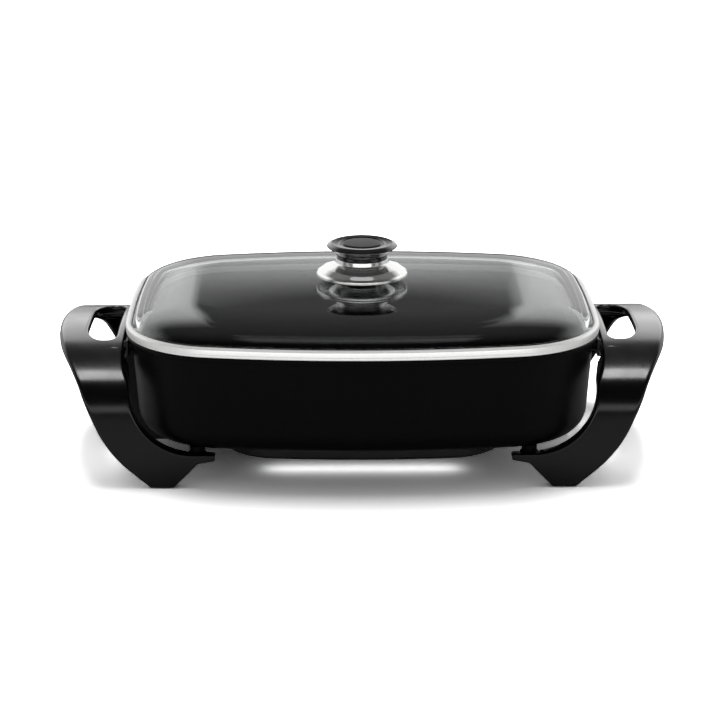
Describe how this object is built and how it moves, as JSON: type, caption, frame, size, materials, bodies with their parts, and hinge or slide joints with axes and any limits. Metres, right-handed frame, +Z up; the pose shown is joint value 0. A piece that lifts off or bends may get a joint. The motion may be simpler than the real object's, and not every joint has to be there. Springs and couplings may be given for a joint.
{
  "type": "electric skillet",
  "caption": "Deep oblong electric skillet with moulded handle-and-leg arches and a lift-off domed glass lid with a steel rim and mushroom knob.",
  "frame": {"origin": "on the table under the middle of the assembly", "axes": "+X along the long side towards the right handle, +Y to the back, +Z up through the knob"},
  "size_m": [0.543, 0.314, 0.1879],
  "materials": {
    "cast_pan": "cast, satin black nonstick coating",
    "steel": "plain",
    "polished_steel": "polished",
    "tube_steel": "heat-darkened",
    "black_cover": "matt",
    "ceramic": "matt, electrical ceramic",
    "bronze": "plain",
    "brass": "plain",
    "black_plastic": "gloss",
    "inlet_plastic": "satin",
    "foot_rubber": "matt",
    "seal_silicone": "matt, silicone",
    "glass": "clear"
  },
  "bodies": {
    "base": {"pan_body": "cast_pan", "heating_element": "tube_steel", "element_clamps": "steel", "heater_cover": "black_cover", "cover_screws": "steel", "terminal_block": "ceramic", "terminal_pins": "steel", "ground_spring": "bronze", "inlet_housing": "inlet_plastic", "inlet_screws": "steel", "left_handle": "black_plastic", "right_handle": "black_plastic", "left_brackets": "steel", "right_brackets": "steel", "bracket_screws": "steel", "leg_screws": "steel", "foot_pads": "foot_rubber"},
    "lid": {"lid_rim": "polished_steel", "rim_seal": "seal_silicone", "lid_glass": "glass", "lower_plate": "steel", "lower_washer": "seal_silicone", "upper_washer": "seal_silicone", "knob_shield": "polished_steel", "knob": "black_plastic", "knob_cap": "black_plastic", "knob_insert": "brass", "knob_screw": "steel"}
  },
  "joints": [
    {"name": "lid_lift", "type": "slide", "parent": "base", "child": "lid", "axis": [0, 0, 1], "range_m": [0, 0.2]}
  ]
}
